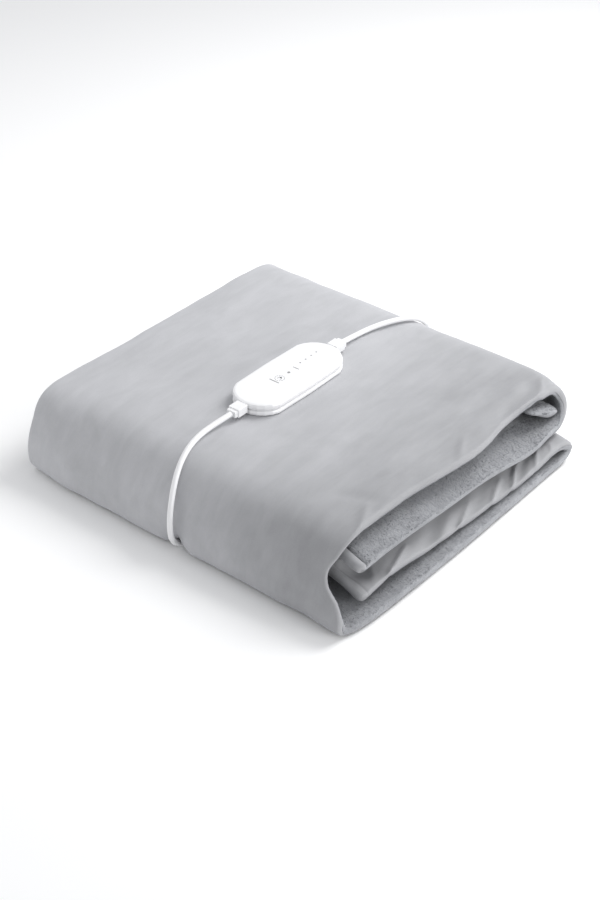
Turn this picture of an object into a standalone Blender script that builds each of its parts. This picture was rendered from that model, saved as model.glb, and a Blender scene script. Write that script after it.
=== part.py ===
"""Electric heated blanket, folded into four layers, with its wired controller, lead and plug.

The sheet is two panels sewn back to back: a smooth face panel outside and a plush panel inside.
It is folded as a gate fold and then in half: the path starts at the hem of the second layer, runs
back, turns up into the top layer, comes forward, wraps the whole front, runs back under the stack,
turns up again and comes forward as the third layer, to the other hem.
Frame: metres, +Z up, origin at the middle of the folded stack's base, +X to the open end.
"""

import math
from collections import namedtuple

import bmesh
import bpy
from mathutils import Vector

MM = 0.001

# Driving sizes, in millimetres
STACK_LENGTH = 413.0  # along X, between the two cut ends
STACK_DEPTH = 394.0  # along Y, from the front wrap to the back folds
OPEN_END = STACK_LENGTH / 2
FAR_END = -STACK_LENGTH / 2
FRONT = 3.0 - STACK_DEPTH / 2  # the wrap bulges 3 mm past it
PANEL = 4.85  # thickness of one panel
PANEL_GAP = 0.3  # between the two panels, either side of the sheet's middle surface
SHEET_HALF = PANEL + PANEL_GAP / 2  # from the sheet's middle surface to either face
DRAPE_REACH = 55.0  # how far in from a cut end its layers start to hang

CORD = 5.6  # diameter
CLEAR = 0.3  # between pieces that meet
GROOVE_X = -1.5  # where the lead dents the underside
GROOVE_HALF = 16.0
GROOVE_LIFT = 9.4
GROOVE_BACK = 108.0  # how far back from the front the groove runs
GROOVE_FADE = 20.0

# Middle surface of the sheet. back: distance from the front. up: height.
# open_in: how far the open end's edge is drawn in. far_in: the same at the far end.
Row = namedtuple("Row", "place back up open_in open_back open_up far_in far_back far_up")
FOLD = (
    Row("second hem", 37, 61, 17, 35, 50, 3, 39, 53),
    Row("second layer", 90, 61, 17, 88, 50, 2, 90, 53),
    Row("second layer", 160, 60, 17, 158, 45, 1, 160, 51),
    Row("second layer", 235, 56, 15, 235, 42.5, 1, 235, 48),
    Row("second layer", 302, 46, 10, 302, 38, 2, 302, 42),
    Row("upper fold", 344, 37.5, 14, 342, 36, 3, 346, 37),
    Row("upper fold", 366, 38.5, 15, 363, 36, 3, 368, 38),
    Row("upper fold", 380, 48, 17, 373.5, 44, 3, 381, 47),
    Row("upper fold", 384.5, 60, 20, 376.5, 56, 3, 385.5, 60),
    Row("upper fold", 379.5, 73, 24, 372.5, 67, 3, 381.5, 73),
    Row("upper fold", 364.5, 80.4, 24, 361, 76.5, 2, 367.5, 80),
    Row("top layer", 335, 82, 24, 338, 80.3, 1, 338, 81.6),
    Row("top layer", 288, 82, 27, 288, 80.5, 0, 288, 81),
    Row("top layer", 218, 82, 20, 218, 79.5, 1, 218, 80.6),
    Row("top layer", 133, 82, 29, 133, 80.5, 2, 133, 81),
    Row("top layer", 64, 81.4, 31, 64, 80.6, 1, 64, 81),
    Row("front wrap", 47, 79.3, 31, 47, 79, 1, 44.5, 80),
    Row("front wrap", 34.5, 74, 32, 34.5, 74, 1, 32.5, 76),
    Row("front wrap", 25.5, 66, 35, 25, 65, 1, 24, 68),
    Row("front wrap", 17, 55, 39, 16.5, 54, 2, 17, 56.5),
    Row("front wrap", 10.5, 43.5, 34, 10, 44, 2, 12, 44.5),
    Row("front wrap", 5.6, 32, 18, 5, 32.5, 2, 9, 32.5),
    Row("front wrap", 3.2, 20, 11, 2, 20, 2, 8.5, 20),
    Row("front wrap", 4.4, 10, 10, 2.6, 10, 2, 10.5, 10),
    Row("front wrap", 11.5, 5.4, 8, 10, 5.4, 2, 17, 5.4),
    Row("base layer", 30, 5, 4, 29, 5, 2, 32, 5),
    Row("base layer", 160, 5, 0, 160, 5, 0, 160, 5),
    Row("base layer", 320, 5, 1, 318, 5, 1, 318, 5),
    Row("lower fold", 353, 5.5, 1, 347, 5.5, 2, 351, 5.5),
    Row("lower fold", 366, 9, 1, 360, 8.5, 3, 364, 9),
    Row("lower fold", 371, 15, 1, 365, 14, 4, 369, 15),
    Row("lower fold", 366, 21, 2, 360, 20, 4, 364, 21),
    Row("lower fold", 352, 24.3, 4, 346, 22.8, 3, 350, 23.5),
    Row("third layer", 303, 26, 5, 300, 18, 2, 303, 24),
    Row("third layer", 233, 30, 7, 231, 18, 1, 233, 25),
    Row("third layer", 153, 34.5, 11, 151, 19, 2, 153, 26),
    Row("third layer", 83, 36.5, 13, 82, 25, 2, 83, 27),
    Row("third hem", 37, 34, 14, 34, 20, 3, 39, 26),
)

# Places across the sheet, as the distance in from the open end
ACROSS = (0.0, 10.0, 24.0, 42.0, 66.0, 125.0, 192.0, 200.0, 208.0, 216.0, 224.0, 300.0, 358.0, 396.0, 413.0)
ROW_STEP = 34.0  # longest distance between two rows of the mesh
GROOVE_ROW_STEP = 14.0  # the same beside the groove
ROW_TURN = math.radians(24)  # largest turn between two rows

# Controller
BOX_X, BOX_Y = -19.6, -4.5
BOX_LENGTH, BOX_WIDTH, BOX_HEIGHT = 137.0, 58.5, 13.0
BOX_BASE = 87.3
BASE_SHARE = 0.45  # of the height
CORD_UP = 95.2  # the lead's centreline where it enters a collar
COLLAR_LENGTH, COLLAR_WIDTH, COLLAR_TALL = 13.0, 13.0, 8.8
COLLAR_NOSE, COLLAR_SHOULDER = 4.0, 1.6  # the narrower outer end: its length, and the step down to it

# Coil of the part of the lead that isn't laid out
COIL_X, COIL_Y = 23.5, 225.0
COIL_TURNS_WIDE, COIL_TURNS_TALL = 3, 3
COIL_RADIUS = 30.4
COIL_PITCH = 5.8

# Plug
PLUG_Y, PLUG_UP = 200.0, 9.6
RELIEF_FROM, RELIEF_TO, PLUG_TO = 83.0, 107.0, 139.0
PIN_LENGTH, PIN_WIDE, PIN_THICK, PIN_APART = 16.0, 6.3, 1.5, 12.7

# Routes of the lead, chosen by hand: points that pull its centreline along, as (x, y, z)
FRONT_ROUTE = (
    (-1.5, -142.5, 3.7), (-1.5, -152.0, 3.4), (-1.5, -163.0, 3.2), (-1.5, -173.0, 3.0),
    (-1.4, -181.8, 3.9), (-1.1, -189.6, 7.9), (-0.6, -195.8, 14.3), (-0.2, -199.2, 22.5),
    (-0.6, -199.5, 31.3), (-2.3, -197.2, 40.0), (-4.9, -192.8, 48.7), (-8.3, -186.3, 58.4),
    (-12.0, -177.8, 69.3), (-15.8, -166.8, 80.1), (-19.8, -151.0, 87.8), (-22.8, -133.0, 90.7),
    (-23.4, -117.0, 91.4), (-21.8, -104.5, 93.1), (-19.6, -91.2, 95.0),
)
BACK_ROUTE = (
    (-19.6, 82.2, 95.0), (-21.0, 91.5, 93.2), (-21.8, 104.0, 91.3), (-20.4, 121.0, 90.8),
    (-16.6, 138.0, 90.9), (-10.9, 153.5, 90.8), (-4.5, 167.0, 90.6), (0.8, 179.0, 88.0),
    (4.2, 189.2, 81.9), (5.9, 196.9, 72.6), (6.0, 200.3, 61.8), (5.7, 200.0, 51.5),
    (5.9, 198.9, 42.0), (9.4, 197.2, 32.8), (16.2, 195.6, 25.6), (25.2, 194.9, 21.3),
    (33.0, 196.2, 20.3),
)
TAIL_ROUTE = (
    (46.0, 189.1, 3.1), (53.8, 189.7, 3.5), (61.2, 192.1, 5.1), (68.1, 195.8, 7.3),
    (75.0, 198.9, 9.0), (81.9, 199.9, 9.6),
)

COLLECTION = "heated_blanket"


def clear_scene():
    for item in list(bpy.data.objects):
        bpy.data.objects.remove(item, do_unlink=True)
    collection = bpy.data.collections.new(COLLECTION)
    bpy.context.scene.collection.children.link(collection)
    return collection


def material(name, colour, roughness, metallic=0.0, sheen=0.0):
    made = bpy.data.materials.new(name)
    made.use_nodes = True
    shader = made.node_tree.nodes["Principled BSDF"]
    shader.inputs["Base Color"].default_value = (*colour, 1.0)
    shader.inputs["Roughness"].default_value = roughness
    shader.inputs["Metallic"].default_value = metallic
    shader.inputs["Sheen Weight"].default_value = sheen
    return made


def add(name, data, collection, finish):
    item = bpy.data.objects.new(name, data)
    collection.objects.link(item)
    data.materials.append(finish)
    return item


# ---- smooth curves through chosen points ----


def smooth_point(points, place):
    """Centripetal curve through all the points, at place = point number + fraction."""
    last = len(points) - 1
    at = min(int(place), last - 1)
    t = place - at
    b, c = points[at], points[at + 1]
    a = points[at - 1] if at > 0 else b * 2 - c
    d = points[at + 2] if at < last - 1 else c * 2 - b
    knots = [0.0]
    for first, second in ((a, b), (b, c), (c, d)):
        knots.append(knots[-1] + max((second - first).length, 1e-6) ** 0.5)
    u = knots[1] + (knots[2] - knots[1]) * t

    def mix(first, second, start, end):
        return first * ((end - u) / (end - start)) + second * ((u - start) / (end - start))

    ab = mix(a, b, knots[0], knots[1])
    bc = mix(b, c, knots[1], knots[2])
    cd = mix(c, d, knots[2], knots[3])
    abc = mix(ab, bc, knots[0], knots[2])
    bcd = mix(bc, cd, knots[1], knots[3])
    return mix(abc, bcd, knots[1], knots[2])


def eased_point(points, place):
    """Cubic B-spline from the first point to the last, pulled towards those between, so bends are even."""
    last = len(points) - 1
    at = min(int(place), last - 1)
    t = place - at
    before = points[at - 1] if at > 0 else points[0] * 2 - points[1]
    after = points[at + 2] if at < last - 1 else points[last] * 2 - points[last - 1]
    shares = ((1 - t) ** 3, 3 * t**3 - 6 * t**2 + 4, -3 * t**3 + 3 * t**2 + 3 * t + 1, t**3)
    return (before * shares[0] + points[at] * shares[1] + points[at + 1] * shares[2] + after * shares[3]) / 6


def smooth_step(share):
    share = min(1.0, max(0.0, share))
    return share * share * (3.0 - 2.0 * share)


def ease_out(share):
    """1 at a cut end, 0 where its drape starts."""
    left = max(0.0, 1.0 - share)
    return left * left * (1.0 + 0.5 * share)


# ---- the folded sheet ----

GROOVE_ROWS = (21.0, 28.0)  # rows of the table that the groove lies between
MIDDLE = [Vector((0.0, row.back, row.up)) for row in FOLD]
OPEN_EDGE = [Vector((row.open_in, row.open_back, row.open_up)) for row in FOLD]
FAR_EDGE = [Vector((row.far_in, row.far_back, row.far_up)) for row in FOLD]


def fold_rows():
    """Places along the fold table, close together where the sheet turns."""
    fine = [n / 24 for n in range(24 * (len(FOLD) - 1) + 1)]
    points = [smooth_point(MIDDLE, place) for place in fine]
    rows, run, turn = [0.0], 0.0, 0.0
    for n in range(1, len(points) - 1):
        before, after = points[n] - points[n - 1], points[n + 1] - points[n]
        beside_groove = 0 < before.y and points[n].z < 9.0 and points[n].y < GROOVE_BACK + ROW_STEP
        run += before.length / (GROOVE_ROW_STEP if beside_groove else ROW_STEP)
        turn += before.angle(after) / ROW_TURN
        if run + turn >= 1.0:
            rows.append(fine[n])
            run, turn = 0.0, 0.0
    rows[-1] = fine[-1]
    return rows


def groove(x, place, back):
    """How far the lead under the base pushes the sheet in."""
    aside = abs(x - GROOVE_X) / GROOVE_HALF
    if aside >= 1.0 or not GROOVE_ROWS[0] < place < GROOVE_ROWS[1]:
        return 0.0
    lift = GROOVE_LIFT * (0.5 + 0.5 * math.cos(math.pi * aside))
    start, end = (place - GROOVE_ROWS[0]) / 2.0, (GROOVE_BACK - back) / GROOVE_FADE
    return lift * smooth_step(start) * smooth_step(end)


def sheet_point(place, inward):
    """Point of the sheet's middle surface: place along the fold, distance in from the open end."""
    middle = smooth_point(MIDDLE, place)
    open_edge = smooth_point(OPEN_EDGE, place)
    far_edge = smooth_point(FAR_EDGE, place)
    to_open = ease_out(inward / DRAPE_REACH)
    to_far = ease_out((STACK_LENGTH - inward) / DRAPE_REACH)
    back = middle.y + to_open * (open_edge.y - middle.y) + to_far * (far_edge.y - middle.y)
    up = middle.z + to_open * (open_edge.z - middle.z) + to_far * (far_edge.z - middle.z)
    start, end = OPEN_END - open_edge.x, FAR_END + far_edge.x
    x = start + (end - start) * inward / STACK_LENGTH
    dent = groove(x, place, back)
    if dent:
        along = smooth_point(MIDDLE, place + 0.02) - smooth_point(MIDDLE, place - 0.02)
        along.normalize()
        back += dent * -along.z
        up += dent * along.y
    return Vector((x, FRONT + back, max(up, SHEET_HALF))) * MM


def panel(name, side, collection, finish):
    """One panel: the sheet's middle surface, thickened away from it to the given side."""
    rows = fold_rows()
    mesh = bpy.data.meshes.new(name)
    grid = bmesh.new()
    bmesh.ops.create_grid(grid, x_segments=len(ACROSS) - 1, y_segments=len(rows) - 1, size=0.5)
    for vertex in grid.verts:
        column = round((vertex.co.x + 0.5) * (len(ACROSS) - 1))
        row = round((vertex.co.y + 0.5) * (len(rows) - 1))
        vertex.co = sheet_point(rows[row], ACROSS[column])
    grid.to_mesh(mesh)
    grid.free()
    mesh.shade_smooth()
    item = add(name, mesh, collection, finish)
    shell = item.modifiers.new("thickness", "SOLIDIFY")
    shell.thickness = PANEL * MM
    shell.offset = side * (1.0 + PANEL_GAP / PANEL)
    shell.use_even_offset = False
    return item


# ---- the controller ----


def stadium(name, length, width, low, high, round_edge, collection, finish):
    """A block with half-round ends along Y and softened edges."""
    radius = width / 2 * MM
    half = length / 2 * MM - radius
    mesh = bpy.data.meshes.new(name)
    block = bmesh.new()
    depth = (high - low) * MM
    bmesh.ops.create_cone(block, cap_ends=True, segments=24, radius1=radius, radius2=radius, depth=depth)
    for vertex in block.verts:
        if abs(vertex.co.y) > 1e-6:
            vertex.co.y += math.copysign(half, vertex.co.y)
    block.to_mesh(mesh)
    block.free()
    item = add(name, mesh, collection, finish)
    item.location = (BOX_X * MM, BOX_Y * MM, (low + high) / 2 * MM)
    edges = item.modifiers.new("edges", "BEVEL")
    edges.width = round_edge * MM
    edges.segments = 2
    edges.limit_method = "ANGLE"
    edges.angle_limit = math.radians(50)
    return item


def ring_profile(name, stations, collection, finish, location, turn, flat=1.0):
    """A turned body on its own Z axis: stations are (distance along the axis, radius)."""
    mesh = bpy.data.meshes.new(name)
    outline = bmesh.new()
    ends = [(stations[0][0], 0.0)] + list(stations) + [(stations[-1][0], 0.0)]
    points = [outline.verts.new((radius * MM, 0.0, along * MM)) for along, radius in reversed(ends)]
    for first, second in zip(points, points[1:]):
        outline.edges.new((first, second))
    outline.to_mesh(mesh)
    outline.free()
    item = add(name, mesh, collection, finish)
    spin = item.modifiers.new("turned", "SCREW")
    spin.steps = spin.render_steps = 16
    spin.use_merge_vertices = True
    spin.merge_threshold = 1e-6
    spin.use_smooth_shade = True
    item.location = [value * MM for value in location]
    item.rotation_euler = turn
    item.scale = (1.0, 1.0, 1.0) if flat == 1.0 else (flat, 1.0, 1.0)
    return item


def tube(name, route, collection, finish):
    """The lead along a route, with a point about every two and a half diameters."""
    chosen = [Vector(point) for point in route]
    fine = [eased_point(chosen, n / 16) for n in range(16 * (len(chosen) - 1) + 1)]
    kept, run = [fine[0]], 0.0
    for first, second in zip(fine, fine[1:]):
        run += (second - first).length
        if run >= 1.7 * CORD:
            kept.append(second)
            run = 0.0
    kept[-1] = fine[-1]
    curve = bpy.data.curves.new(name, "CURVE")
    curve.dimensions = "3D"
    curve.bevel_depth = CORD / 2 * MM
    curve.bevel_resolution = 2
    curve.use_fill_caps = True
    spline = curve.splines.new("POLY")
    spline.points.add(len(kept) - 1)
    for point, place in zip(spline.points, kept):
        point.co = (*(place * MM), 1.0)
    return add(name, curve, collection, finish)


def coil(collection, finish):
    """The wound lead as one turned ring, its section a rounded block of turns."""
    half_wide = COIL_TURNS_WIDE * COIL_PITCH / 2 - 0.1
    tall = COIL_TURNS_TALL * CORD
    bite = CORD / 2 * 0.6
    corners = (
        (COIL_RADIUS - half_wide + bite, CLEAR),
        (COIL_RADIUS - half_wide, CLEAR + bite),
        (COIL_RADIUS - half_wide, CLEAR + tall - bite),
        (COIL_RADIUS - half_wide + bite, CLEAR + tall),
        (COIL_RADIUS + half_wide - bite, CLEAR + tall),
        (COIL_RADIUS + half_wide, CLEAR + tall - bite),
        (COIL_RADIUS + half_wide, CLEAR + bite),
        (COIL_RADIUS + half_wide - bite, CLEAR),
    )
    mesh = bpy.data.meshes.new("lead_coil")
    outline = bmesh.new()
    points = [outline.verts.new((radius * MM, 0.0, up * MM)) for radius, up in corners]
    for first, second in zip(points, points[1:] + points[:1]):
        outline.edges.new((first, second))
    outline.to_mesh(mesh)
    outline.free()
    item = add("lead_coil", mesh, collection, finish)
    item.location = (COIL_X * MM, COIL_Y * MM, 0.0)
    spin = item.modifiers.new("turned", "SCREW")
    spin.steps = spin.render_steps = 40
    spin.use_merge_vertices = True
    spin.merge_threshold = 1e-6
    return item


def collar(name, end, collection, finish):
    """The collar at one end of the controller: a block whose outer face steps down to a short nose."""
    item = block(name, (COLLAR_WIDTH, COLLAR_LENGTH, COLLAR_TALL), (0, 0, 0), 0.0, collection, finish)
    solid = bmesh.new()
    solid.from_mesh(item.data)
    outer = max(solid.faces, key=lambda face: face.calc_center_median().y * end)
    bmesh.ops.inset_individual(solid, faces=[outer], thickness=COLLAR_SHOULDER * MM)
    nose = bmesh.ops.extrude_discrete_faces(solid, faces=[outer])["faces"][0]
    bmesh.ops.translate(solid, verts=nose.verts, vec=(0.0, end * COLLAR_NOSE * MM, 0.0))
    solid.to_mesh(item.data)
    solid.free()
    middle = BOX_Y + end * (BOX_LENGTH / 2 + CLEAR + COLLAR_LENGTH / 2)
    item.location = (BOX_X * MM, middle * MM, CORD_UP * MM)
    edges = item.modifiers.new("edges", "BEVEL")
    edges.width = 1.0 * MM
    edges.segments = 2
    return item


def block(name, size, centre, round_edge, collection, finish):
    mesh = bpy.data.meshes.new(name)
    solid = bmesh.new()
    bmesh.ops.create_cube(solid, size=1.0)
    for vertex in solid.verts:
        vertex.co = Vector([value * side * MM for value, side in zip(vertex.co, size)])
    solid.to_mesh(mesh)
    solid.free()
    item = add(name, mesh, collection, finish)
    item.location = [value * MM for value in centre]
    if round_edge:
        edges = item.modifiers.new("edges", "BEVEL")
        edges.width = round_edge * MM
        edges.segments = 3
    return item


def build():
    collection = clear_scene()
    velvet = material("face_velvet", (0.55, 0.56, 0.58), 0.85, sheen=0.4)
    plush = material("plush_pile", (0.30, 0.31, 0.33), 0.95, sheen=0.6)
    shell = material("white_shell", (0.88, 0.88, 0.88), 0.35)
    rubber = material("white_rubber", (0.84, 0.84, 0.84), 0.5)
    lead = material("white_lead", (0.86, 0.86, 0.86), 0.42)
    pin_metal = material("pin_metal", (0.72, 0.68, 0.58), 0.25, metallic=1.0)

    panel("face_panel", 1, collection, velvet)
    panel("plush_panel", -1, collection, plush)

    # Strain relief that the lead comes out of, in the groove under the front
    gland_turn = (math.radians(90), 0.0, 0.0)
    gland = ((0.0, 3.4), (13.0, 3.4), (30.0, 3.0))
    ring_profile(
        "lead_gland", gland, collection, rubber,
        (GROOVE_X, FRONT + 82.0, 3.8), gland_turn,
    )
    tube("lead_front", FRONT_ROUTE, collection, lead)

    # Controller: base shell, top shell, and a collar where the lead meets each end
    parting = BOX_BASE + BASE_SHARE * BOX_HEIGHT
    top = BOX_BASE + BOX_HEIGHT
    stadium("controller_base", BOX_LENGTH, BOX_WIDTH, BOX_BASE, parting - CLEAR, 2.2, collection, shell)
    stadium("controller_top", BOX_LENGTH, BOX_WIDTH, parting, top, 2.6, collection, shell)
    collar("collar_front", -1, collection, rubber)
    collar("collar_back", 1, collection, rubber)

    tube("lead_back", BACK_ROUTE, collection, lead)
    coil(collection, lead)
    tube("lead_tail", TAIL_ROUTE, collection, lead)

    # Plug: tapered strain relief, body and two flat pins
    along_x = (0.0, math.radians(90), 0.0)
    relief = ((0.0, 3.4), (RELIEF_TO - RELIEF_FROM - CLEAR, 6.2))
    ring_profile("plug_relief", relief, collection, rubber, (RELIEF_FROM, PLUG_Y, PLUG_UP), along_x)
    body_size = (PLUG_TO - RELIEF_TO, 25.0, 17.6)
    body_centre = ((RELIEF_TO + PLUG_TO) / 2, PLUG_Y, PLUG_UP)
    block("plug_body", body_size, body_centre, 3.5, collection, rubber)
    for name, side in (("plug_pin_near", -1), ("plug_pin_far", 1)):
        centre = (PLUG_TO + CLEAR + PIN_LENGTH / 2, PLUG_Y + side * PIN_APART / 2, PLUG_UP)
        block(name, (PIN_LENGTH, PIN_THICK, PIN_WIDE), centre, 0.3, collection, pin_metal)


build()
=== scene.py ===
import math
from collections import namedtuple

import bmesh
import bpy
import numpy as np
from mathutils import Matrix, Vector


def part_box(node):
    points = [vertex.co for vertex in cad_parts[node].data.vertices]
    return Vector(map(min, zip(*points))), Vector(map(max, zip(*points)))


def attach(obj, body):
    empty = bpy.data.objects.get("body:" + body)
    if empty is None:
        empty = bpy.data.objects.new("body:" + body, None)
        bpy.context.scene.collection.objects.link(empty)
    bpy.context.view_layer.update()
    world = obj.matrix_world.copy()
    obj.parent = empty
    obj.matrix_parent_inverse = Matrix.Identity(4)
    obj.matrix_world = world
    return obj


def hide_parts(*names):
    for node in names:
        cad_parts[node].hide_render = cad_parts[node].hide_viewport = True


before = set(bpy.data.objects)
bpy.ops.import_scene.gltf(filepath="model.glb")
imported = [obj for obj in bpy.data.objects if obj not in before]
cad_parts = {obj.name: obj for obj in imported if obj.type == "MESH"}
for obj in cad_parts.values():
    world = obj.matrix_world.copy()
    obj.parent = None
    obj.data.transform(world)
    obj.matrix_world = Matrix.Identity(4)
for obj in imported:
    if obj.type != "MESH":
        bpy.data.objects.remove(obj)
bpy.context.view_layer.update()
MM = 0.001

# ---- places taken from the frame, in millimetres ----


def box_mm(node):
    low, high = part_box(node)
    return low / MM, high / MM


FACE_LOW, _ = box_mm("face_panel")
OPEN_END, FAR_END = 206.5, -206.5  # the cut ends; the fold's table draws its edges in from them
STACK_LENGTH = OPEN_END - FAR_END
WRAP_BULGE = 3.3  # how far the wrap stands out past the fold table's own zero
FRONT = FACE_LOW.y + WRAP_BULGE

# ---- the folded sheet: the same fold as the CAD solids, in millimetres ----

SHEET_HALF = 5.0  # from the sheet's middle surface to either face
DRAPE_REACH = 55.0  # how far in from a cut end its layers start to hang
GROOVE_X, GROOVE_HALF, GROOVE_LIFT = -1.5, 16.0, 9.4  # the dent that the lead makes in the underside
GROOVE_BACK, GROOVE_FADE = 108.0, 20.0  # where it ends, from the front, and the length it fades over
GROOVE_ROWS, GROOVE_START = (21.0, 28.0), 2.0  # the fold's rows that it runs over, and those it deepens in
NUDGE, NUDGE_ACROSS = 0.02, 1.0  # small steps for directions: rows of the fold, and distance across
RUN_STEPS = 60  # to each row, for measuring along the fold

# Middle surface. back: distance from the front. up: height. open_in: how far the open end's edge is drawn
# in. far_in: the same at the far end.
Row = namedtuple("Row", "place back up open_in open_back open_up far_in far_back far_up")
FOLD = (
    Row("second hem", 37, 61, 17, 35, 50, 3, 39, 53),
    Row("second layer", 90, 61, 17, 88, 50, 2, 90, 53),
    Row("second layer", 160, 60, 17, 158, 45, 1, 160, 51),
    Row("second layer", 235, 56, 15, 235, 42.5, 1, 235, 48),
    Row("second layer", 302, 46, 10, 302, 38, 2, 302, 42),
    Row("upper fold", 344, 37.5, 14, 342, 36, 3, 346, 37),
    Row("upper fold", 366, 38.5, 15, 363, 36, 3, 368, 38),
    Row("upper fold", 380, 48, 17, 373.5, 44, 3, 381, 47),
    Row("upper fold", 384.5, 60, 20, 376.5, 56, 3, 385.5, 60),
    Row("upper fold", 379.5, 73, 24, 372.5, 67, 3, 381.5, 73),
    Row("upper fold", 364.5, 80.4, 24, 361, 76.5, 2, 367.5, 80),
    Row("top layer", 335, 82, 24, 338, 80.3, 1, 338, 81.6),
    Row("top layer", 288, 82, 27, 288, 80.5, 0, 288, 81),
    Row("top layer", 218, 82, 20, 218, 79.5, 1, 218, 80.6),
    Row("top layer", 133, 82, 29, 133, 80.5, 2, 133, 81),
    Row("top layer", 64, 81.4, 31, 64, 80.6, 1, 64, 81),
    Row("front wrap", 47, 79.3, 31, 47, 79, 1, 44.5, 80),
    Row("front wrap", 34.5, 74, 32, 34.5, 74, 1, 32.5, 76),
    Row("front wrap", 25.5, 66, 35, 25, 65, 1, 24, 68),
    Row("front wrap", 17, 55, 39, 16.5, 54, 2, 17, 56.5),
    Row("front wrap", 10.5, 43.5, 34, 10, 44, 2, 12, 44.5),
    Row("front wrap", 5.6, 32, 18, 5, 32.5, 2, 9, 32.5),
    Row("front wrap", 3.2, 20, 11, 2, 20, 2, 8.5, 20),
    Row("front wrap", 4.4, 10, 10, 2.6, 10, 2, 10.5, 10),
    Row("front wrap", 11.5, 5.4, 8, 10, 5.4, 2, 17, 5.4),
    Row("base layer", 30, 5, 4, 29, 5, 2, 32, 5),
    Row("base layer", 160, 5, 0, 160, 5, 0, 160, 5),
    Row("base layer", 320, 5, 1, 318, 5, 1, 318, 5),
    Row("lower fold", 353, 5.5, 1, 347, 5.5, 2, 351, 5.5),
    Row("lower fold", 366, 9, 1, 360, 8.5, 3, 364, 9),
    Row("lower fold", 371, 15, 1, 365, 14, 4, 369, 15),
    Row("lower fold", 366, 21, 2, 360, 20, 4, 364, 21),
    Row("lower fold", 352, 24.3, 4, 346, 22.8, 3, 350, 23.5),
    Row("third layer", 303, 26, 5, 300, 18, 2, 303, 24),
    Row("third layer", 233, 30, 7, 231, 18, 1, 233, 25),
    Row("third layer", 153, 34.5, 11, 151, 19, 2, 153, 26),
    Row("third layer", 83, 36.5, 13, 82, 25, 2, 83, 27),
    Row("third hem", 37, 34, 14, 34, 20, 3, 39, 26),
)
MIDDLE = np.array([(0.0, row.back, row.up) for row in FOLD])
OPEN_EDGE = np.array([(row.open_in, row.open_back, row.open_up) for row in FOLD])
FAR_EDGE = np.array([(row.far_in, row.far_back, row.far_up) for row in FOLD])

ROW_STEP, COLUMN_STEP = 4.4, 8.4  # of the fine sheets
EDGE_STEP, EDGE_NEAR = 1.8, 50.0  # columns near a cut end, where the creases are
HEM_STEP, HEM_NEAR = 1.1, 16.0  # rows beside a hem
CLOTH = 1.3  # thickness of each fine sheet
EDGE_REACH = 2.8  # how far a cut end's rounding reaches in
# How far the face cloth turns round a cut end, as (row of the fold table, degrees); the plush meets it there
WRAP_ROWS = ((0, 50), (4.8, 50), (6.5, 112), (22.0, 112), (24.2, 28), (29.0, 28), (31.5, 84), (37, 84))
HEM_REACH = 5.4  # half the thickness of a hem's bead
HEM_WRAP = math.radians(212)  # how far the face cloth turns round it, down into the seam
HEM_TUCK = 1.0  # how far the plush starts inside the hem's seam
SEAM_BACK, SEAM_WIDE, SEAM_DEEP = 9.6, 0.9, 1.1  # the stitched line beside a hem on the face side
PILE_DIP, PILE_DIP_LONG = 2.4, 5.0  # how deep the plush dips at a hem, and over what length
LAP_GAP = math.radians(4)  # left between the face cloth and the plush round a cut end
FACE_LOWEST, PLUSH_LOWEST, TUFT_LOWEST = 0.15, 0.4, 0.2  # above the floor
CORNER = 9.0  # plan radius of the sheet's four corners
ROLL_STEPS = 9  # across each rounded edge
THIN_EDGE, THIN_REACH = 0.5, 9.0  # share of the wrap's thickness lost at its cut edge, and how far in
THIN_ROWS = ((15.2, 1.5), (22.8, 1.6))  # the fold's rows where that starts and ends, and how gradually

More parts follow.
